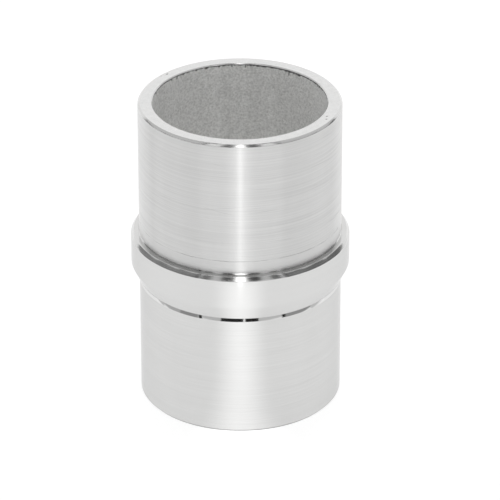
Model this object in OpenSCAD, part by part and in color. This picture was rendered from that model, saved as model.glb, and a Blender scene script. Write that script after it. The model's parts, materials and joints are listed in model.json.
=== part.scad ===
// Hollow round-tube connector: two plain spigots pressed into a wider collar ring, with one bore right through.
// Millimetres. The axis is Z and the lower rim rests on Z = 0.

/* [Overall] */
// Height from rim to rim
overall_h = 61.7; // [56:0.1:90]
// Bore that runs the whole length
bore_d = 33.5; // [30:0.1:34.6]
// Outside diameter of both spigots, which a tube of 39.4 mm inside diameter slides over
spigot_d = 39.2; // [38.8:0.1:39.6]

/* [Collar ring] */
// Outside diameter of the collar, flush with a 42.4 mm tube
collar_d = 42.4; // [42.2:0.1:48]
// Height of the shoulder that the upper tube stops against
shoulder_z = 34.5; // [33.3:0.1:36]
// Width of the bevel on the shoulder's outer edge
shoulder_bevel_w = 0.6; // [0.2:0.05:0.7]
// Height of that bevel
shoulder_bevel_h = 0.8; // [0.3:0.05:1]
// Height at which the straight face ends and the tapered underside begins
taper_top_z = 28; // [26.8:0.1:30]
// Height at which the tapered underside ends, over the groove
taper_end_z = 25.1; // [25:0.05:25.8]
// Diameter of the tapered underside at its lower end
taper_end_d = 39.6; // [39.3:0.1:40.6]

/* [Seams] */
// Height of the lower seam, at the bottom of the groove under the collar
groove_z = 24.8; // [24.3:0.05:24.9]
// Depth of that groove
groove_depth = 0.25; // [0.1:0.05:0.3]
// Height of the lower spigot's bevel, which is the groove's lower flank
groove_bevel_h = 0.6; // [0.3:0.05:0.8]
// Radius of the fillet at the root of the upper spigot
root_fillet = 0.2; // [0.1:0.05:0.4]
// Depth of the seat in the collar ring that the upper spigot's foot fills
seat_depth = 0.3; // [0.2:0.05:0.4]

/* [Rims] */
// Outer bevel of both rims
rim_bevel = 0.45; // [0.2:0.05:0.6]
// Inner bevel of both rims
bore_bevel = 0.2; // [0.1:0.05:0.6]

/* [Registers] */
// Diameter at which the stepped ends of the spigots press into the collar ring
register_d = 36.6; // [36.2:0.1:37.2]
// Gap between the two stepped ends, so that the seams close first
register_gap = 0.2; // [0.1:0.05:0.5]
// Lead-in bevel on each stepped end
register_lead = 0.3; // [0.1:0.05:0.4]

/* [Hidden] */
$fn = 160;

bore_r = bore_d / 2;
spigot_r = spigot_d / 2;
collar_r = collar_d / 2;
register_r = register_d / 2;
groove_r = spigot_r - groove_depth;
foot_r = spigot_r + root_fillet;
seat_z = shoulder_z - seat_depth;
middle_z = (shoulder_z + groove_z) / 2;

// A spigot that stands on its rim at height 0, with its stepped end upwards. seam is the outline from the
// outer wall to the step at step_z, where it goes in to the register, and end_z is the height of the stepped end.
module spigot(seam, step_z, end_z) {
    rotate_extrude()
        polygon(concat(
            [
                [bore_r + bore_bevel, 0],
                [spigot_r - rim_bevel, 0],
                [spigot_r, rim_bevel]
            ],
            seam,
            [
                [register_r, step_z],
                [register_r, end_z - register_lead],
                [register_r - register_lead, end_z],
                [bore_r, end_z],
                [bore_r, bore_bevel]
            ]
        ));
}

// Turned sleeve over the collar, with its bevelled rim on top and a filleted foot that fills the ring's seat
module upper_spigot() {
    color([0.80, 0.80, 0.79])
        translate([0, 0, overall_h])
            mirror([0, 0, 1])
                spigot(
                    seam = concat(
                        [
                            for (turn = [0:22.5:90])
                                [
                                    foot_r - root_fillet * cos(turn),
                                    overall_h - shoulder_z - root_fillet * (1 - sin(turn))
                                ]
                        ],
                        [[foot_r, overall_h - seat_z]]
                    ),
                    step_z = overall_h - seat_z,
                    end_z = overall_h - middle_z - register_gap / 2
                );
}

// Polished ring around both stepped ends: seat, bevelled shoulder, straight face and tapered underside
module collar_ring() {
    color([0.87, 0.87, 0.86])
        rotate_extrude()
            polygon([
                [register_r, groove_z],
                [groove_r, groove_z],
                [taper_end_d / 2, taper_end_z],
                [collar_r, taper_top_z],
                [collar_r, shoulder_z - shoulder_bevel_h],
                [collar_r - shoulder_bevel_w, shoulder_z],
                [foot_r, shoulder_z],
                [foot_r, seat_z],
                [register_r, seat_z]
            ]);
}

// Polished sleeve under the groove, with its bevelled rim on the floor
module lower_spigot() {
    color([0.85, 0.85, 0.84])
        spigot(
            seam = [[spigot_r, groove_z - groove_bevel_h], [groove_r, groove_z]],
            step_z = groove_z,
            end_z = middle_z - register_gap / 2
        );
}

upper_spigot();
collar_ring();
lower_spigot();
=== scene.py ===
"""Looks of a hollow steel connector for round tube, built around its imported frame.

Three turned pieces make the object: an upper spigot with a raw bore, a polished collar ring and a polished
lower spigot. Each is an outline turned about the bore's axis, with its edges broken, and dressed in steel.
Lengths are in metres, and angles in degrees unless a name says otherwise.
"""

from __future__ import annotations

import json
import logging
import math
from dataclasses import dataclass
from enum import Enum
from typing import Any

import bmesh
import bpy
from mathutils import Matrix, Vector, noise

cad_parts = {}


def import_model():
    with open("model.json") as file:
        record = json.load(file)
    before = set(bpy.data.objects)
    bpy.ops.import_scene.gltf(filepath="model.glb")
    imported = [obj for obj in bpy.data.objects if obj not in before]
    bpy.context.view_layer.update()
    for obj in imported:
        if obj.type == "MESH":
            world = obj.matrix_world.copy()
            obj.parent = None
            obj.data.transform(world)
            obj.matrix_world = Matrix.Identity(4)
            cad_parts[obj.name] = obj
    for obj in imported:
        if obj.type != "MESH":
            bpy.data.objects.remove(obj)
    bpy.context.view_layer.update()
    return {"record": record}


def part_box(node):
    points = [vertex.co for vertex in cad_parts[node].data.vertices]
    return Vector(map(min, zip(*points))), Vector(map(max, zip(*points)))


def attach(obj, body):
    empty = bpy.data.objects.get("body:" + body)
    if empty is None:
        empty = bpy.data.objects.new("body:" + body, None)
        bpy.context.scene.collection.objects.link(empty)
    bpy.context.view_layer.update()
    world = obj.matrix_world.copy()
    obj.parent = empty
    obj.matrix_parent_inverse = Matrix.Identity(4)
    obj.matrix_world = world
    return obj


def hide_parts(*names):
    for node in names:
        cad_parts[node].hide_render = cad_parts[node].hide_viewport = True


LOG = logging.getLogger("tube_connector")
MM = 0.001
# torn_edge marks the torn mouth of the bore. The bore's material darkens it there, partly as dark scale and
# partly as painted shadow under the burr.
TORN_ATTRIBUTE = "torn_edge"
# pit marks the pores sunk into the rim. The rim's material paints them near-black as painted shade.
PIT_ATTRIBUTE = "pit"
SKIN_DEPTH = 0.02 * MM
SKIN_GRAIN = 0.9 * MM

Colour = tuple[float, float, float]


class Finish(Enum):
    """The finishes that a run of an outline can have."""

    TURNED = "turned"
    POLISHED = "polished"
    SATIN = "satin"
    CUT_EDGE = "cut_edge"
    SOFT_EDGE = "soft_edge"
    RIM_EDGE = "rim_edge"
    GROOVE = "groove"
    SHINY_BAND = "shiny_band"
    RIM_FACE = "rim_face"
    RAW_BORE = "raw_bore"
    # Painted shade: a dark steel that stands for shade. The bottom bevel and the fine turned line over the
    # shoulder wear it.
    PAINTED_SHADE = "painted_shade"


# --------------------------------------------------------------------------------------------------
# Shader maths
# --------------------------------------------------------------------------------------------------


class Value:
    """A number that varies over a surface: a node socket that takes part in Python expressions."""

    def __init__(self, graph: Graph, socket: bpy.types.NodeSocket) -> None:
        """Wraps a socket.

        Args:
            graph: The material's graph that the socket is in.
            socket: The output socket.
        """
        self.graph = graph
        self.socket = socket

    def __add__(self, other: Value | float) -> Value:
        """self + other."""
        return self.graph.maths("ADD", self, other)

    def __radd__(self, other: float) -> Value:
        """other + self."""
        return self.graph.maths("ADD", other, self)

    def __sub__(self, other: Value | float) -> Value:
        """self - other."""
        return self.graph.maths("SUBTRACT", self, other)

    def __rsub__(self, other: float) -> Value:
        """other - self."""
        return self.graph.maths("SUBTRACT", other, self)

    def __mul__(self, other: Value | float) -> Value:
        """self * other."""
        return self.graph.maths("MULTIPLY", self, other)

    def __rmul__(self, other: float) -> Value:
        """other * self."""
        return self.graph.maths("MULTIPLY", other, self)

    def above(self, low: float, high: float) -> Value:
        """A smooth step from 0 at low to 1 at high.

        Args:
            low: The value at which the step begins.
            high: The value at which the step ends, which may be below low.

        Returns:
            The step, from 0 to 1.
        """
        step = self.graph.node(
            "ShaderNodeMapRange",
            {"interpolation_type": "SMOOTHSTEP"},
            {"Value": self, "From Min": low, "From Max": high, "To Min": 0.0, "To Max": 1.0},
        )
        return Value(self.graph, step.outputs["Result"])


class Graph:
    """The node tree of one material, and the few ways to add to it."""

    def __init__(self, name: str) -> None:
        """Starts an empty material.

        Args:
            name: The material's name.
        """
        self.material = bpy.data.materials.new(name)
        self.material.use_nodes = True
        self.tree = self.material.node_tree
        self.tree.nodes.clear()

    def node(
        self, kind: str, settings: dict[str, Any] | None = None, inputs: dict[Any, Any] | None = None
    ) -> Any:
        """Adds a node.

        Args:
            kind: The node's type.
            settings: Properties of the node, set first.
            inputs: What each input socket gets: a Value, a socket to link, or a plain value.

        Returns:
            The new node.
        """
        made = self.tree.nodes.new(kind)
        for name, value in (settings or {}).items():
            setattr(made, name, value)
        for name, value in (inputs or {}).items():
            source = value.socket if isinstance(value, Value) else value
            if isinstance(source, bpy.types.NodeSocket):
                self.tree.links.new(source, made.inputs[name])
            else:
                made.inputs[name].default_value = source
        return made

    def maths(self, operation: str, first: Value | float, second: Value | float) -> Value:
        """Adds a Math node on two numbers and returns its result."""
        made = self.node("ShaderNodeMath", {"operation": operation}, {0: first, 1: second})
        return Value(self, made.outputs["Value"])

    def grain(
        self, across: float, along: float, detail: float = 2.0, tilt: float = 0.0, seed: float = 0.0
    ) -> Value:
        """Noise in the piece's own coordinates, stretched round the axis or along it.

        Args:
            across: Cycles for each metre in X and Y.
            along: Cycles for each metre in Z, so that along far above across gives turned rings.
            detail: Octaves of the noise.
            tilt: How far the pattern leans about X before it is stretched.
            seed: Moves the pattern, so that two alike don't coincide.

        Returns:
            The noise, about 0.5 on average.
        """
        place = self.node("ShaderNodeTexCoord").outputs["Object"]
        if tilt:
            lean = {"Rotation": (math.radians(tilt), math.radians(tilt * 0.6), 0.0)}
            place = self.node("ShaderNodeMapping", {}, {"Vector": place, **lean}).outputs["Vector"]
        stretch = {"Scale": (across, across, along), "Location": (seed, seed * 1.7, seed * 2.3)}
        place = self.node("ShaderNodeMapping", {}, {"Vector": place, **stretch}).outputs["Vector"]
        fineness = {"Scale": 1.0, "Detail": detail, "Roughness": 0.55}
        made = self.node("ShaderNodeTexNoise", {}, {"Vector": place, **fineness})
        return Value(self, made.outputs["Fac"])

    def attribute(self, name: str) -> Value:
        """The number that the mesh holds under this name."""
        made = self.node("ShaderNodeAttribute", {"attribute_name": name})
        return Value(self, made.outputs["Fac"])

    def coordinate(self, axis: str) -> Value:
        """A point's X, Y or Z in the piece's own coordinates, in metres."""
        parts = self.node("ShaderNodeSeparateXYZ", {}, {0: self.node("ShaderNodeTexCoord").outputs["Object"]})
        return Value(self, parts.outputs[axis])

    def forward(self) -> Value:
        """How far a point is in front of the axis, in metres."""
        return 0.0 - self.coordinate("Y")

    def azimuth(self) -> Value:
        """How far a point is round the axis from the front, to either side, in radians."""
        turned = self.maths("ARCTAN2", self.coordinate("X"), self.forward())
        return self.maths("ABSOLUTE", turned, 0.0)

    def tint(self, amount: Value, low: Colour, high: Colour) -> bpy.types.NodeSocket:
        """A colour that runs from low to high as amount runs from 0 to 1."""
        made = self.node(
            "ShaderNodeMix",
            {"data_type": "RGBA", "clamp_factor": True},
            {"Factor": amount, 6: (*low, 1.0), 7: (*high, 1.0)},
        )
        return made.outputs[2]

    def metal(
        self,
        colour: Any,
        roughness: Value | float,
        relief: Value,
        depth: float,
        anisotropy: float,
        metallic: float = 1.0,
        edge_tint: float = 1.0,
    ) -> None:
        """Ends the material in a metal surface.

        Args:
            colour: The colour socket or plain colour of the metal.
            roughness: Its roughness.
            relief: The height of its surface detail, from 0 to 1.
            depth: How high the detail stands when relief is 1.
            anisotropy: How far highlights are drawn out across the turning marks.
            metallic: How metallic it is, less for a raw skin of oxide.
            edge_tint: How bright it stays where it is seen edge on.
        """
        bump = self.node("ShaderNodeBump", {}, {"Strength": 1.0, "Distance": depth, "Height": relief})
        surface = self.node(
            "ShaderNodeBsdfPrincipled",
            {},
            {
                "Base Color": colour,
                "Metallic": metallic,
                "Roughness": roughness,
                "Anisotropic": anisotropy,
                "Anisotropic Rotation": 0.25,
                "Specular Tint": (edge_tint, edge_tint, edge_tint, 1.0),
                "Normal": bump.outputs["Normal"],
            },
        )
        self.node("ShaderNodeOutputMaterial", {}, {"Surface": surface.outputs["BSDF"]})



# --------------------------------------------------------------------------------------------------
# Finishes
# --------------------------------------------------------------------------------------------------


@dataclass(frozen=True)
class RingedSteel:
    """Steel from the lathe: fine rings round the axis, faint clouding and a few scratches."""

    name: str
    dull: Colour = (0.625, 0.625, 0.62)
    bright: Colour = (0.795, 0.795, 0.79)
    roughness: float = 0.32
    roughness_spread: float = 0.08
    anisotropy: float = 1.0
    ring_depth: float = 0.004 * MM
    rings_per_mm: float = 5.0
    scratches: float = 0.5
    edge_tint: float = 0.97

    def material(self) -> bpy.types.Material:
        """Builds the material."""
        graph = Graph(self.name)
        fine = graph.grain(45.0, self.rings_per_mm / MM, 2.0)
        bands = graph.grain(30.0, self.rings_per_mm / MM / 6.0, 3.0, seed=3.1)
        cloud = graph.grain(140.0, 70.0, 3.0, seed=5.7)
        scratch = graph.grain(60.0, 2600.0, 1.0, tilt=9.0, seed=8.3).above(0.70, 0.76)
        scratch = scratch + graph.grain(80.0, 3000.0, 1.0, tilt=-14.0, seed=1.9).above(0.72, 0.78)
        tone = (bands - 0.5) * 0.5 + (fine - 0.5) * 1.3 + (cloud - 0.5) * 0.7 + 0.5 - scratch * self.scratches
        rough = (fine - 0.5) * self.roughness_spread + (cloud - 0.5) * self.roughness_spread + self.roughness
        relief = fine * 0.7 + bands * 0.3 - scratch * (0.5 * self.scratches)
        colour = graph.tint(tone, self.dull, self.bright)
        graph.metal(colour, rough, relief, self.ring_depth, self.anisotropy, edge_tint=self.edge_tint)
        return graph.material


@dataclass(frozen=True)
class RawSteel:
    """The unmachined inside of a thick pipe: grey, grainy and faintly streaked along its length."""

    name: str
    dull: Colour = (0.62, 0.62, 0.61)
    bright: Colour = (0.99, 0.99, 0.98)
    # Near-black at the torn mouth: partly dark scale, partly painted shadow under the burr.
    scale_and_shadow: Colour = (0.10, 0.10, 0.10)
    roughness: float = 0.75
    metallic: float = 0.15

    def material(self) -> bpy.types.Material:
        """Builds the material."""
        graph = Graph(self.name)
        speck = graph.grain(2500.0, 2500.0, 3.0)
        mottle = graph.grain(900.0, 700.0, 2.0, seed=4.4)
        streak = graph.grain(260.0, 18.0, 2.0, seed=2.7)
        torn = graph.attribute(TORN_ATTRIBUTE)
        tone = (speck - 0.5) * 2.2 + (mottle - 0.5) * 0.5 + (streak - 0.5) * 0.5 + 0.5
        colour = graph.tint(tone, self.dull, self.bright)
        # Where the mouth is torn, the colour goes near-black: partly scale, partly painted shadow under the
        # burr.
        shade = graph.node(
            "ShaderNodeMix",
            {"data_type": "RGBA", "clamp_factor": True},
            {"Factor": torn, 6: colour, 7: (*self.scale_and_shadow, 1.0)},
        )
        relief = speck * 0.7 + mottle * 0.3
        rough = (mottle - 0.5) * 0.2 + self.roughness
        graph.metal(shade.outputs[2], rough, relief, 0.02 * MM, 0.0, self.metallic)
        return graph.material


@dataclass(frozen=True)
class FaceSteel:
    """The flat end of a rim: faced smooth, with faint rings and a few open pores, painted near-black inside
    as painted shade.
    """

    name: str
    dull: Colour = (0.695, 0.695, 0.69)
    bright: Colour = (0.785, 0.785, 0.78)
    # Near-black painted shade inside the pores.
    pore: Colour = (0.03, 0.03, 0.03)
    roughness: float = 0.22

    def material(self) -> bpy.types.Material:
        """Builds the material."""
        graph = Graph(self.name)
        cloud = graph.grain(900.0, 900.0, 3.0)
        speck = graph.grain(4200.0, 4200.0, 1.0, seed=6.1)
        pit = graph.attribute(PIT_ATTRIBUTE)
        colour = graph.tint((cloud - 0.5) * 1.2 + (speck - 0.5) * 0.5 + 0.5, self.dull, self.bright)
        # The pores go near-black: painted shade in the hollows.
        shade = graph.node(
            "ShaderNodeMix",
            {"data_type": "RGBA", "clamp_factor": True},
            {"Factor": pit, 6: colour, 7: (*self.pore, 1.0)},
        )
        rough = (cloud - 0.5) * 0.12 + self.roughness
        graph.metal(shade.outputs[2], rough, cloud, 0.001 * MM, 0.0)
        return graph.material


class Wardrobe:
    """Every finish of the object, built once and handed out by name."""

    def __init__(self) -> None:
        """Lists the finishes."""
        self.finishes = {
            Finish.TURNED: RingedSteel("turned_steel"),
            Finish.SHINY_BAND: RingedSteel(
                "shiny_band_steel",
                dull=(0.65, 0.65, 0.645),
                bright=(0.73, 0.73, 0.725),
                roughness=0.3,
                roughness_spread=0.05,
                anisotropy=1.0,
                ring_depth=0.001 * MM,
                scratches=0.2,
            ),
            Finish.POLISHED: RingedSteel(
                "polished_steel",
                dull=(0.65, 0.65, 0.645),
                bright=(0.675, 0.675, 0.67),
                roughness=0.16,
                roughness_spread=0.03,
                anisotropy=0.5,
                ring_depth=0.0001 * MM,
                scratches=0.05,
                edge_tint=0.85,
            ),
            Finish.SATIN: RingedSteel(
                "satin_steel",
                dull=(0.615, 0.615, 0.61),
                bright=(0.675, 0.675, 0.67),
                roughness=0.18,
                roughness_spread=0.04,
                anisotropy=0.5,
                ring_depth=0.0002 * MM,
                scratches=0.3,
                edge_tint=0.85,
            ),
            Finish.CUT_EDGE: RingedSteel(
                "cut_edge_steel",
                dull=(0.62, 0.62, 0.615),
                bright=(0.76, 0.76, 0.755),
                roughness=0.15,
                roughness_spread=0.1,
                anisotropy=0.0,
                ring_depth=0.001 * MM,
                scratches=0.1,
            ),
            Finish.RIM_EDGE: RingedSteel(
                "rim_edge_steel",
                dull=(0.62, 0.62, 0.615),
                bright=(0.76, 0.76, 0.755),
                roughness=0.15,
                roughness_spread=0.12,
                anisotropy=0.0,
                ring_depth=0.001 * MM,
                scratches=0.1,
            ),
            Finish.SOFT_EDGE: RingedSteel(
                "soft_edge_steel",
                dull=(0.62, 0.62, 0.615),
                bright=(0.74, 0.74, 0.735),
                roughness=0.18,
                roughness_spread=0.12,
                anisotropy=0.0,
                ring_depth=0.002 * MM,
                scratches=0.1,
            ),
            Finish.GROOVE: RingedSteel(
                "groove_steel",
                dull=(0.7, 0.7, 0.695),
                bright=(0.74, 0.74, 0.735),
                roughness=0.07,
                roughness_spread=0.02,
                anisotropy=0.0,
                ring_depth=0.0001 * MM,
                scratches=0.0,
            ),
            Finish.RIM_FACE: FaceSteel("rim_face_steel"),
            Finish.RAW_BORE: RawSteel("raw_bore_steel"),
            # Painted shade: this dark steel stands for the contact shade on the floor by the base, which the
            # bottom bevel reflects, and for the shade inside the fine turned line.
            Finish.PAINTED_SHADE: RawSteel("painted_shade_steel", dull=(0.30, 0.30, 0.30), bright=(0.42, 0.42, 0.42)),
        }
        self.made: dict[Finish, bpy.types.Material] = {}

    def material(self, finish: Finish) -> bpy.types.Material:
        """The material of a finish, built when it is first asked for."""
        if finish not in self.made:
            self.made[finish] = self.finishes[finish].material()
        return self.made[finish]


# --------------------------------------------------------------------------------------------------
# Turning
# --------------------------------------------------------------------------------------------------


@dataclass(frozen=True)
class Corner:
    """A corner of an outline, and the run that goes from it to the next one.

    Attributes:
        radius: Its distance from the axis.
        height: Its height.
        edge: Length of the rounding on each side of it.
        finish: Finish of the run that follows.
        cuts: Rings that divide that run.
    """

    radius: float
    height: float
    edge: float
    finish: Finish
    cuts: int = 0

    def point(self) -> Vector:
        """The corner in the plane that the outline is drawn in."""
        return Vector((self.radius, 0.0, self.height))


@dataclass
class Lathe:
    """Turns a closed outline about the axis and breaks its edges.

    Attributes:
        wedge_steps: Facets round one wedge.
        doublings: How often the wedge is doubled to make the full turn.
        edge_steps: Facets across each rounded edge.
        sharp_angle: Degrees between two faces above which their shading is kept apart.
    """

    wedge_steps: int = 15
    doublings: int = 5
    edge_steps: int = 3
    sharp_angle: float = 20.0

    def turn(self, corners: list[Corner]) -> bmesh.types.BMesh:
        """Makes the solid.

        Args:
            corners: The outline's corners in order, anticlockwise seen from -Y.

        Returns:
            A closed mesh with its normals outwards, and each face's material index set to its run's finish.
        """
        mesh = bmesh.new()
        points = [mesh.verts.new(corner.point()) for corner in corners]
        for first, second in zip(points, points[1:] + points[:1]):
            mesh.edges.new((first, second))
        for point, corner in zip(points, corners):
            if corner.edge:
                self._break_corner(mesh, point, corner.edge)
        for index, corner in enumerate(corners):
            if corner.cuts:
                self._divide_run(mesh, corner, corners[(index + 1) % len(corners)])
        self._revolve(mesh)
        bmesh.ops.recalc_face_normals(mesh, faces=mesh.faces[:])
        self._mark_finishes(mesh, corners)
        self._keep_sharp(mesh)
        return mesh

    def _revolve(self, mesh: bmesh.types.BMesh) -> None:
        """Turns the outline through one wedge, then doubles the wedge until it closes."""
        angle = math.tau / 2**self.doublings
        bmesh.ops.spin(
            mesh,
            geom=mesh.verts[:] + mesh.edges[:],
            cent=(0.0, 0.0, 0.0),
            axis=(0.0, 0.0, 1.0),
            dvec=(0.0, 0.0, 0.0),
            angle=angle,
            steps=self.wedge_steps,
            use_merge=False,
        )
        for _ in range(self.doublings):
            copied = bmesh.ops.duplicate(mesh, geom=mesh.verts[:] + mesh.edges[:] + mesh.faces[:])["geom"]
            moved = [item for item in copied if isinstance(item, bmesh.types.BMVert)]
            bmesh.ops.rotate(mesh, cent=(0.0, 0.0, 0.0), matrix=Matrix.Rotation(angle, 3, "Z"), verts=moved)
            angle *= 2.0
        bmesh.ops.remove_doubles(mesh, verts=mesh.verts[:], dist=0.0002 * MM)

    def _keep_sharp(self, mesh: bmesh.types.BMesh) -> None:
        """Keeps the shading of two runs apart where they meet at an unrounded corner."""
        limit = math.radians(self.sharp_angle)
        for edge in mesh.edges:
            if len(edge.link_faces) == 2 and edge.calc_face_angle(0.0) > limit:
                edge.smooth = False

    def _break_corner(self, mesh: bmesh.types.BMesh, point: bmesh.types.BMVert, size: float) -> None:
        """Rounds one corner of the outline."""
        bmesh.ops.bevel(
            mesh,
            geom=[point],
            offset=size,
            offset_type="OFFSET",
            segments=self.edge_steps,
            profile=0.5,
            affect="VERTICES",
            material=-1,
        )

    def _divide_run(self, mesh: bmesh.types.BMesh, corner: Corner, following: Corner) -> None:
        """Divides the straight part of a run into rings."""
        middle = (corner.point() + following.point()) / 2
        run = min(mesh.edges, key=lambda edge: ((edge.verts[0].co + edge.verts[1].co) / 2 - middle).length)
        bmesh.ops.subdivide_edges(mesh, edges=[run], cuts=corner.cuts)

    def _mark_finishes(self, mesh: bmesh.types.BMesh, corners: list[Corner]) -> None:
        """Gives each face the finish of the run that it lies nearest to."""
        order = list(Finish)
        runs = [
            (corner.point(), following.point() - corner.point(), order.index(corner.finish))
            for corner, following in zip(corners, corners[1:] + corners[:1])
        ]
        known: dict[tuple[int, int], int] = {}
        for face in mesh.faces:
            centre = face.calc_center_median()
            place = Vector((math.hypot(centre.x, centre.y), 0.0, centre.z))
            ring = (round(place.x / (0.001 * MM)), round(place.z / (0.001 * MM)))
            if ring not in known:
                known[ring] = min(runs, key=lambda run: distance_to_run(place, run[0], run[1]))[2]
            face.material_index = known[ring]
            face.smooth = True


def distance_to_run(place: Vector, start: Vector, span: Vector) -> float:
    """How far a point is from a straight run.

    Args:
        place: The point.
        start: Where the run starts.
        span: The way from its start to its end.

    Returns:
        The shortest distance.
    """
    share = max(0.0, min(1.0, (place - start).dot(span) / span.length_squared))
    return (place - start - span * share).length


def finish_piece(
    mesh: bmesh.types.BMesh, name: str, node: str, wardrobe: Wardrobe
) -> bpy.types.Object:
    """Makes a piece of a mesh: dresses it, sets it on its body and lets it stand for its CAD node.

    Args:
        mesh: The mesh, which is freed.
        name: The piece's name.
        node: The CAD node that it stands for.
        wardrobe: Where its materials come from.

    Returns:
        The piece.
    """
    data = bpy.data.meshes.new(name)
    mesh.to_mesh(data)
    mesh.free()
    order = list(Finish)
    used = sorted({face.material_index for face in data.polygons})
    for index in used:
        data.materials.append(wardrobe.material(order[index]))
    for face in data.polygons:
        face.material_index = used.index(face.material_index)
    piece = bpy.data.objects.new(name, data)
    bpy.context.scene.collection.objects.link(piece)
    weighted = piece.modifiers.new("flat_runs_shade_flat", "WEIGHTED_NORMAL")
    weighted.mode = "FACE_AREA"
    weighted.weight = 100
    weighted.keep_sharp = True
    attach(piece, "root")
    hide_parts(node)
    LOG.info("%s: %d faces", name, len(data.polygons))
    return piece


# --------------------------------------------------------------------------------------------------
# The object
# --------------------------------------------------------------------------------------------------


@dataclass
class Sizes:
    """The sizes that the pieces share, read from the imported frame."""

    spigot_r: float
    foot_r: float
    collar_r: float
    bore_r: float
    rim_z: float
    shoulder_z: float
    groove_z: float
    upper_end_z: float
    lower_end_z: float
    register_r: float = 18.3 * MM
    seat_depth: float = 0.3 * MM
    groove_depth: float = 0.25 * MM
    rim_bevel: float = 0.45 * MM
    bore_bevel: float = 0.2 * MM
    register_lead: float = 0.3 * MM
    fine_edge: float = 0.05 * MM
    crisp_edge: float = 0.02 * MM

    @property
    def groove_r(self) -> float:
        """Radius at the bottom of the groove under the collar."""
        return self.spigot_r - self.groove_depth

    @classmethod
    def from_frame(cls, record: dict[str, Any]) -> Sizes:
        """Reads the boxes of the CAD nodes and the bore's radius.

        Args:
            record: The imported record.

        Returns:
            The sizes.
        """
        upper_low, upper_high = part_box("upper_spigot")
        collar_low, collar_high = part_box("collar_ring")
        lower_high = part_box("lower_spigot")[1]
        mounts = {mount["name"]: mount for mount in record["mounts"]}
        return cls(
            spigot_r=lower_high.x,
            foot_r=upper_high.x,
            collar_r=collar_high.x,
            bore_r=mounts["through_bore"]["dims"]["r_mm"] * MM,
            rim_z=upper_high.z,
            shoulder_z=collar_high.z,
            groove_z=collar_low.z,
            upper_end_z=upper_low.z,
            lower_end_z=lower_high.z,
        )


def bore_skin(place: Vector) -> float:
    """How far the raw skin of the bore stands off its mean radius at a place.

    Args:
        place: The place on the bore.

    Returns:
        The distance, outwards from the axis.
    """
    return SKIN_DEPTH * noise.fractal(place / SKIN_GRAIN, 0.6, 2.0, 3)


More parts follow.
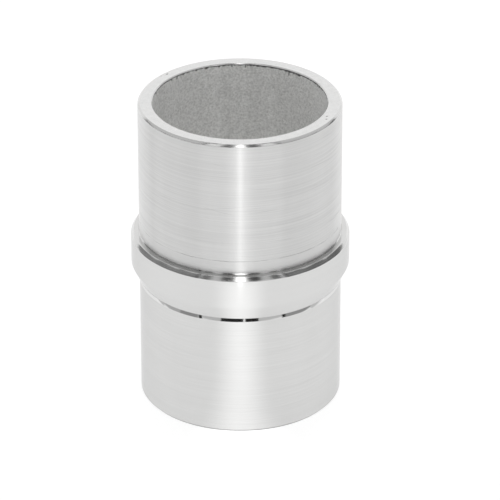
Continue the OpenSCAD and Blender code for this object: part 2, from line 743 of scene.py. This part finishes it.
@dataclass
class UpperSpigot:
    """The turned sleeve over the collar, with its raw bore and torn bore edge.

    Attributes:
        sizes: The shared sizes.
        wardrobe: Where its materials come from.
        root_lean: Share of the root's width that its flat leans back over.
        witness_z: Height of the fine turned line over the shoulder.
        witness_depth: Depth of that line.
        witness_half: Half its width.
        witness_wander: How far it strays from its height.
        bore_rings: Rings that divide the bore under its mouth.
        mouth_rings: Rings that divide its mouth, where the tear is.
        mouth_depth: Height of the mouth.
        tear_depth: How deep the tear cuts into the wall.
        tear_reach: How far down the tear goes on average, in millimetres.
        tear_jag: How much that varies, in millimetres.
        tear_spike: How much further its longest teeth go, in millimetres.
        spike_floor: How rare the longest teeth are, from 0 to 1.
        tear_fade: Height over which the tear gives way to whole skin.
        pits: Radius in millimetres, azimuth in degrees and size in millimetres of each open pore in the rim.
        pit_depth: Depth of a pore.
    """

    sizes: Sizes
    wardrobe: Wardrobe
    root_lean: float = 0.75
    witness_z: float = 37.2 * MM
    witness_depth: float = 0.03 * MM
    witness_half: float = 0.035 * MM
    witness_wander: float = 0.07 * MM
    bore_rings: int = 60
    mouth_rings: int = 24
    mouth_depth: float = 1.6 * MM
    tear_depth: float = 0.06 * MM
    tear_reach: float = 0.34
    tear_jag: float = 0.26
    tear_spike: float = 1.8
    spike_floor: float = 0.28
    tear_fade: float = 0.10 * MM
    pit_depth: float = 0.12 * MM
    pits: tuple[tuple[float, float, float], ...] = (
        (18.42, 139.8, 0.16),
        (18.80, 144.2, 0.10),
        (17.86, -23.2, 0.13),
        (18.28, -27.2, 0.14),
    )

    def corners(self) -> list[Corner]:
        """The outline, from the bore's mouth down the bore and back up the outside."""
        s = self.sizes
        edge = s.fine_edge
        lip_z = s.rim_z - s.bore_bevel
        return [
            Corner(s.bore_r, lip_z, 0.0, Finish.RAW_BORE, self.mouth_rings),
            Corner(s.bore_r, lip_z - self.mouth_depth, 0.0, Finish.RAW_BORE, self.bore_rings),
            Corner(s.bore_r, s.upper_end_z, edge, Finish.TURNED),
            Corner(s.register_r - s.register_lead, s.upper_end_z, edge, Finish.CUT_EDGE),
            Corner(s.register_r, s.upper_end_z + s.register_lead, edge, Finish.TURNED),
            Corner(s.register_r, s.shoulder_z - s.seat_depth, 0.0, Finish.TURNED),
            Corner(s.foot_r, s.shoulder_z - s.seat_depth, 0.0, Finish.TURNED),
            Corner(s.foot_r, s.shoulder_z, 0.0, Finish.CUT_EDGE),
            *self._fillet(),
            # The fine turned line is dressed in painted shade: its dark colour stands for the shade inside
            # the groove.
            Corner(s.spigot_r, self.witness_z - self.witness_half, 0.0, Finish.PAINTED_SHADE),
            Corner(s.spigot_r - self.witness_depth, self.witness_z, 0.0, Finish.PAINTED_SHADE),
            Corner(s.spigot_r, self.witness_z + self.witness_half, 0.0, Finish.TURNED, 8),
            Corner(s.spigot_r, s.rim_z - s.rim_bevel, edge, Finish.RIM_EDGE),
            Corner(s.spigot_r - s.rim_bevel, s.rim_z, edge, Finish.RIM_FACE, 14),
            Corner(s.bore_r + s.bore_bevel, s.rim_z, edge, Finish.SOFT_EDGE, 3),
        ]

    def _fillet(self) -> list[Corner]:
        """The fillet at the root, as a narrow flat that leans back from the shoulder to the wall."""
        s = self.sizes
        radius = s.foot_r - s.spigot_r
        return [
            Corner(s.spigot_r + self.root_lean * radius, s.shoulder_z, 0.0, Finish.CUT_EDGE),
            Corner(s.spigot_r, s.shoulder_z + radius, 0.0, Finish.SHINY_BAND),
        ]

    def build(self) -> bpy.types.Object:
        """Builds the piece."""
        mesh = Lathe().turn(self.corners())
        self._roughen_bore(mesh)
        self._sink_pits(mesh)
        self._wander_line(mesh)
        return finish_piece(mesh, "upper_spigot_turned", "upper_spigot", self.wardrobe)

    def _roughen_bore(self, mesh: bmesh.types.BMesh) -> None:
        """Gives the bore its raw skin, and tears it where the inner bevel cuts into it."""
        s = self.sizes
        lip_z = s.rim_z - s.bore_bevel
        torn = mesh.verts.layers.float.new(TORN_ATTRIBUTE)
        for vert in mesh.verts:
            depth = lip_z - vert.co.z
            inside = math.hypot(vert.co.x, vert.co.y) < s.bore_r + 0.02 * MM
            if not inside or depth < -0.01 * MM or vert.co.z < s.upper_end_z + 0.1 * MM:
                continue
            outward = Vector((vert.co.x, vert.co.y, 0.0)).normalized()
            tear = self._tear(outward, depth)
            skin = bore_skin(vert.co)
            undercut = self.tear_depth * tear * min(1.0, depth / self.tear_depth)
            # The tear also darkens the colour here: partly dark scale, partly painted shadow under the burr.
            vert[torn] = tear
            vert.co += outward * (skin + undercut)

    def _tear(self, outward: Vector, depth: float) -> float:
        """How torn the bore is at a place near its mouth.

        Args:
            outward: The way out from the axis to the place.
            depth: How far below the bevel the place is.

        Returns:
            From 0 for a whole skin to 1 for a torn one.
        """
        place = outward * self.sizes.bore_r
        jag = noise.noise(place / (0.30 * MM)) + 0.5 * noise.noise(place / (0.14 * MM))
        spike = max(0.0, noise.noise(place / (0.42 * MM) + Vector((7.0, 3.0, 1.0))) - self.spike_floor)
        heavy = 0.80 + 0.25 * max(0.0, outward.x) + 0.25 * noise.noise(place / (6.0 * MM))
        slant = 0.35 * depth * noise.noise(place / (2.0 * MM))
        reach = (self.tear_reach + self.tear_jag * jag + self.tear_spike * spike) * MM * heavy + slant
        return max(0.0, min(1.0, (reach - depth) / self.tear_fade))

    def _wander_line(self, mesh: bmesh.types.BMesh) -> None:
        """Lets the turned line over the shoulder stray from its height and vary in width."""
        s = self.sizes
        reach = 1.5 * self.witness_half
        for vert in mesh.verts:
            radius = math.hypot(vert.co.x, vert.co.y)
            if abs(vert.co.z - self.witness_z) > reach or radius < s.spigot_r - 2.0 * self.witness_depth:
                continue
            place = Vector((vert.co.x, vert.co.y, 0.0))
            width = max(0.15, min(1.0, 0.6 + 1.4 * noise.noise(place / (2.6 * MM))))
            drift = self.witness_wander * noise.noise(place / (3.1 * MM) + Vector((5.0, 1.0, 2.0)))
            vert.co.z = self.witness_z + (vert.co.z - self.witness_z) * width + drift

    def _sink_pits(self, mesh: bmesh.types.BMesh) -> None:
        """Sinks the open pores into the rim's flat face."""
        pitted = mesh.verts.layers.float.new(PIT_ATTRIBUTE)
        for radius, azimuth, size in self.pits:
            angle = math.radians(azimuth)
            centre = Vector((math.cos(angle), math.sin(angle), 0.0)) * radius * MM
            centre.z = self.sizes.rim_z
            for vert in mesh.verts:
                away = (vert.co - centre).length
                if away < size * MM:
                    # Marks the pore for the near-black painted shade in the rim's material.
                    vert[pitted] = 1.0
                    vert.co.z -= self.pit_depth * (1.0 - away / (size * MM))


@dataclass
class CollarRing:
    """The polished ring: bevelled shoulder, straight face and tapered underside."""

    sizes: Sizes
    wardrobe: Wardrobe
    bevel_w: float = 0.6 * MM
    bevel_h: float = 0.8 * MM
    taper_top_z: float = 28.0 * MM
    taper_end_z: float = 25.1 * MM
    taper_end_r: float = 19.8 * MM

    def corners(self) -> list[Corner]:
        """The outline, from the bottom of the bore out and round."""
        s = self.sizes
        edge = s.fine_edge
        return [
            Corner(s.register_r, s.groove_z, edge, Finish.CUT_EDGE),
            Corner(s.groove_r, s.groove_z, 0.0, Finish.GROOVE),
            Corner(self.taper_end_r, self.taper_end_z, s.crisp_edge, Finish.POLISHED, 2),
            Corner(s.collar_r, self.taper_top_z, 2 * edge, Finish.POLISHED, 4),
            Corner(s.collar_r, s.shoulder_z - self.bevel_h, edge, Finish.CUT_EDGE, 2),
            Corner(s.collar_r - self.bevel_w, s.shoulder_z, edge, Finish.CUT_EDGE, 2),
            Corner(s.foot_r, s.shoulder_z, 0.0, Finish.TURNED),
            Corner(s.foot_r, s.shoulder_z - s.seat_depth, 0.0, Finish.TURNED),
            Corner(s.register_r, s.shoulder_z - s.seat_depth, 0.0, Finish.TURNED, 2),
        ]

    def build(self) -> bpy.types.Object:
        """Builds the piece."""
        mesh = Lathe().turn(self.corners())
        return finish_piece(mesh, "collar_ring_polished", "collar_ring", self.wardrobe)


@dataclass
class LowerSpigot:
    """The polished sleeve under the groove, which stands on its rim."""

    sizes: Sizes
    wardrobe: Wardrobe
    groove_bevel_h: float = 0.6 * MM

    def corners(self) -> list[Corner]:
        """The outline, from the lower rim out, up the outside and down the bore."""
        s = self.sizes
        edge = s.fine_edge
        return [
            Corner(s.bore_r + s.bore_bevel, 0.0, edge, Finish.RIM_FACE, 3),
            # The bottom bevel is dressed in painted shade: its dark colour stands for the shaded floor that
            # it reflects by the base.
            Corner(s.spigot_r - s.rim_bevel, 0.0, edge, Finish.PAINTED_SHADE),
            Corner(s.spigot_r, s.rim_bevel, edge, Finish.SATIN, 8),
            Corner(s.spigot_r, s.groove_z - self.groove_bevel_h, s.crisp_edge, Finish.GROOVE),
            Corner(s.groove_r, s.groove_z, 0.0, Finish.TURNED),
            Corner(s.register_r, s.groove_z, edge, Finish.TURNED),
            Corner(s.register_r, s.lower_end_z - s.register_lead, edge, Finish.CUT_EDGE),
            Corner(s.register_r - s.register_lead, s.lower_end_z, edge, Finish.TURNED),
            Corner(s.bore_r, s.lower_end_z, edge, Finish.RAW_BORE, 40),
            Corner(s.bore_r, s.bore_bevel, edge, Finish.CUT_EDGE),
        ]

    def build(self) -> bpy.types.Object:
        """Builds the piece."""
        mesh = Lathe().turn(self.corners())
        for vert in mesh.verts:
            bare = math.hypot(vert.co.x, vert.co.y) < self.sizes.bore_r + 0.01 * MM
            if bare and 0.5 * MM < vert.co.z < self.sizes.lower_end_z - 0.1 * MM:
                outward = Vector((vert.co.x, vert.co.y, 0.0)).normalized()
                vert.co += outward * bore_skin(vert.co)
        return finish_piece(mesh, "lower_spigot_polished", "lower_spigot", self.wardrobe)


# --------------------------------------------------------------------------------------------------
# The studio
# --------------------------------------------------------------------------------------------------


def direction(azimuth: float, elevation: float) -> Vector:
    """The way from the object to a place around it.

    Args:
        azimuth: Degrees from the front, positive to the right.
        elevation: Degrees above the horizon.

    Returns:
        A unit vector.
    """
    turn, rise = math.radians(azimuth), math.radians(elevation)
    return Vector((math.sin(turn) * math.cos(rise), -math.cos(turn) * math.cos(rise), math.sin(rise)))


@dataclass(frozen=True)
class Card:
    """A studio card that curves round the object. One that glows is a light, and one that doesn't is a flag.

    Attributes:
        name: Its name.
        left: Degrees from the front to its left edge, positive to the right.
        right: Degrees from the front to its right edge.
        low: Degrees from the horizon up to its lower edge.
        high: Degrees from the horizon up to its upper edge.
        glow: Its radiance.
        reach: How far it is from the object.
        lean: Degrees that its upper edge is turned further round than its lower edge.
    """

    name: str
    left: float
    right: float
    low: float
    high: float
    glow: float
    reach: float = 1.0
    lean: float = 0.0


@dataclass
class Studio:
    """Floor, surround, cards and camera.

    Attributes:
        cards: The cards round the object.
        surround: Radiance of the surround.
        floor_glow: Radiance of the floor away from its lane.
        floor_albedo: How much light the floor gives back.
        lane_glow: What the lane towards the front adds to the floor.
        lane_half: Degrees to each side at which the lane ends.
        lane_fade: Share of the lane that is lost where its core begins.
        core_glow: What the narrow core of the lane adds.
        core_half: Degrees to each side at which the core ends.
        core_start: How far in front of the axis the core begins.
        core_rise: Distance over which the core comes in.
        floor_half: Half the floor's width.
        camera_height: Height of the point that the camera goes round.
        camera_distance: How far the camera is from that point.
        camera_pitch: Degrees that the camera looks down.
        camera_lens: Focal length.
        camera_roll: Degrees that the camera is turned about its own axis.
        aim_right: How far to the right of the point the camera aims.
        aim_up: How far above the point it aims, across its line of sight.
    """

    cards: tuple[Card, ...]
    surround: float = 1.0
    floor_glow: float = 0.83
    floor_albedo: float = 0.34
    lane_glow: float = 0.36
    lane_half: float = 28.0
    lane_fade: float = 0.3
    core_glow: float = 0.8
    core_half: float = 3.4
    core_start: float = 84.0 * MM
    core_rise: float = 8.0 * MM
    floor_half: float = 6.0
    camera_height: float = 34.2 * MM
    camera_distance: float = 784.3 * MM
    camera_pitch: float = 27.25
    camera_lens: float = 291.2
    camera_roll: float = -0.05
    aim_right: float = 1.89 * MM
    aim_up: float = -4.16 * MM

    def build(self) -> None:
        """Builds the studio."""
        self._surround()
        self._floor()
        for card in self.cards:
            self._card(card)
        self._camera()

    def _surround(self) -> None:
        """An even white surround."""
        world = bpy.data.worlds.new("white_surround")
        world.use_nodes = True
        world.node_tree.nodes["Background"].inputs["Color"].default_value = (1.0, 1.0, 1.0, 1.0)
        world.node_tree.nodes["Background"].inputs["Strength"].default_value = self.surround
        bpy.context.scene.world = world
        bpy.context.scene.view_settings.view_transform = "Standard"

    def _floor(self) -> None:
        """A pale floor that is lit from within, and brighter in a lane towards the front."""
        mesh = bmesh.new()
        bmesh.ops.create_grid(mesh, x_segments=8, y_segments=8, size=self.floor_half)
        graph = Graph("floor_white")
        far = graph.forward().above(self.core_start, self.core_start + self.core_rise)
        lane = graph.azimuth().above(math.radians(self.lane_half), 0.0) * (1.0 - far * self.lane_fade)
        core = graph.azimuth().above(math.radians(self.core_half), 0.0) * far
        extra = self.lane_glow + self.core_glow
        most = self.floor_glow + extra
        spread = lane * (self.lane_glow / extra) + core * (self.core_glow / extra)
        surface = graph.node(
            "ShaderNodeBsdfPrincipled",
            {},
            {
                "Base Color": (self.floor_albedo,) * 3 + (1.0,),
                "Roughness": 0.9,
                "Specular IOR Level": 0.0,
                "Emission Color": graph.tint(spread, (self.floor_glow / most,) * 3, (1.0,) * 3),
                "Emission Strength": most,
            },
        )
        graph.node("ShaderNodeOutputMaterial", {}, {"Surface": surface.outputs["BSDF"]})
        self._staged(mesh, "floor", graph.material)

    def _card(self, card: Card) -> None:
        """Sets up one card, out of the camera's sight."""
        mesh = bmesh.new()
        bmesh.ops.create_grid(mesh, x_segments=12, y_segments=12, size=1.0)
        for vert in mesh.verts:
            azimuth = card.left + (card.right - card.left) * (vert.co.x + 1.0) / 2.0
            azimuth += card.lean * (vert.co.y + 1.0) / 2.0
            elevation = card.low + (card.high - card.low) * (vert.co.y + 1.0) / 2.0
            vert.co = Vector((0.0, 0.0, self.camera_height)) + direction(azimuth, elevation) * card.reach
        graph = Graph(card.name)
        glow = graph.node("ShaderNodeEmission", {}, {"Strength": card.glow})
        graph.node("ShaderNodeOutputMaterial", {}, {"Surface": glow.outputs["Emission"]})
        staged = self._staged(mesh, card.name, graph.material)
        staged.visible_camera = False

    def _staged(self, mesh: bmesh.types.BMesh, name: str, material: bpy.types.Material) -> bpy.types.Object:
        """Links a stage object made of a mesh, which is freed."""
        data = bpy.data.meshes.new(name)
        mesh.to_mesh(data)
        mesh.free()
        data.materials.append(material)
        staged = bpy.data.objects.new(name, data)
        bpy.context.scene.collection.objects.link(staged)
        return staged

    def _camera(self) -> None:
        """A long lens that looks down at the object."""
        data = bpy.data.cameras.new("camera")
        data.lens = self.camera_lens
        data.clip_start = 0.01
        data.clip_end = 50.0
        camera = bpy.data.objects.new("camera", data)
        bpy.context.scene.collection.objects.link(camera)
        back = direction(0.0, self.camera_pitch)
        up = direction(0.0, self.camera_pitch + 90.0)
        middle = Vector((0.0, 0.0, self.camera_height))
        camera.location = middle + back * self.camera_distance
        aim = middle + Vector((self.aim_right, 0.0, 0.0)) + up * self.aim_up
        look = (aim - camera.location).to_track_quat("-Z", "Y").to_matrix().to_4x4()
        roll = Matrix.Rotation(math.radians(self.camera_roll), 4, "Z")
        camera.rotation_euler = (look @ roll).to_euler()
        bpy.context.scene.camera = camera


CARDS = (
    Card("strip", -5.5, 6.2, 34.0, 80.0, 2.4, 1.04),
    Card("camera_card_left", -21.0, 3.0, 10.0, 33.0, 0.02, 0.96),
    Card("camera_card_right", 5.2, 19.5, 10.0, 33.0, 0.02, 0.96),
    Card("grey_left", -41.5, -21.0, 10.0, 32.0, 0.58, 0.98),
    Card("grey_right", 19.5, 46.5, 10.0, 32.0, 0.62, 0.98),
    Card("rim_flag_left", -29.0, -8.0, 54.0, 73.0, 0.20, 0.97),
    Card("rim_flag_right", 9.0, 32.0, 54.0, 73.0, 0.12, 0.97),
    Card("shoulder_flag_left", -22.0, -6.3, 38.0, 53.0, 0.03, 0.97),
    Card("shoulder_flag_right", 7.9, 24.0, 38.0, 53.0, 0.03, 0.97),
    Card("shoulder_pale_left", -34.0, -22.0, 36.0, 53.0, 0.60, 0.98),
    Card("shoulder_pale_right", 24.0, 36.0, 36.0, 53.0, 0.60, 0.98),
    Card("shoulder_side_left", -45.0, -34.0, 34.0, 50.0, 0.16, 0.97),
    Card("shoulder_side_right", 36.0, 47.0, 34.0, 50.0, 0.12, 0.97),
    Card("gap_left", -45.5, -41.5, 8.0, 62.0, 0.0, 0.94, -9.0),
    Card("gap_right", 45.5, 49.5, 8.0, 62.0, 0.0, 0.94, 9.0),
    Card("low_left_a", -68.0, -46.5, 4.0, 24.0, 0.32, 0.98),
    Card("low_left_b", -90.0, -68.0, 2.0, 17.0, 0.50, 0.98),
    Card("low_left_c", -111.0, -90.0, 0.0, 10.0, 0.62, 0.98),
    Card("low_right_a", 49.5, 82.0, 4.0, 24.0, 0.34, 0.98),
    Card("low_right_b", 82.0, 110.0, 1.0, 14.0, 0.66, 0.98),
    Card("wall_left", -75.0, -46.5, 24.0, 43.0, 0.24, 0.98),
    Card("wall_left_far", -100.0, -75.0, 17.0, 35.0, 0.24, 0.98),
    Card("wall_left_back", -128.0, -100.0, 8.0, 24.0, 0.26, 0.98),
    Card("wall_right", 49.5, 75.0, 24.0, 43.0, 0.21, 0.98),
    Card("wall_right_far", 75.0, 100.0, 17.0, 35.0, 0.17, 0.98),
    Card("wall_right_back", 100.0, 128.0, 8.0, 24.0, 0.17, 0.98),
    Card("top_left", -130.0, -50.0, 22.0, 66.0, 0.66, 1.05),
    Card("top_right", 54.0, 130.0, 22.0, 66.0, 0.66, 1.05),
    Card("zenith_left", -135.0, -40.0, 66.0, 88.0, 0.06, 1.05),
    Card("zenith_right", 40.0, 135.0, 66.0, 88.0, 0.03, 1.05),
    Card("mark_left", -111.0, -105.0, -1.5, 6.0, 0.0, 0.94),
    Card("mark_right", 112.0, 117.0, 0.0, 7.0, 0.0, 0.94),
)


def main() -> None:
    """Loads the frame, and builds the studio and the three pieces."""
    logging.basicConfig(level=logging.INFO, format="%(name)s: %(message)s")
    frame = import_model()
    sizes = Sizes.from_frame(frame["record"])
    wardrobe = Wardrobe()
    Studio(CARDS).build()
    for part in (UpperSpigot(sizes, wardrobe), CollarRing(sizes, wardrobe), LowerSpigot(sizes, wardrobe)):
        part.build()


if __name__ == "__main__":
    main()
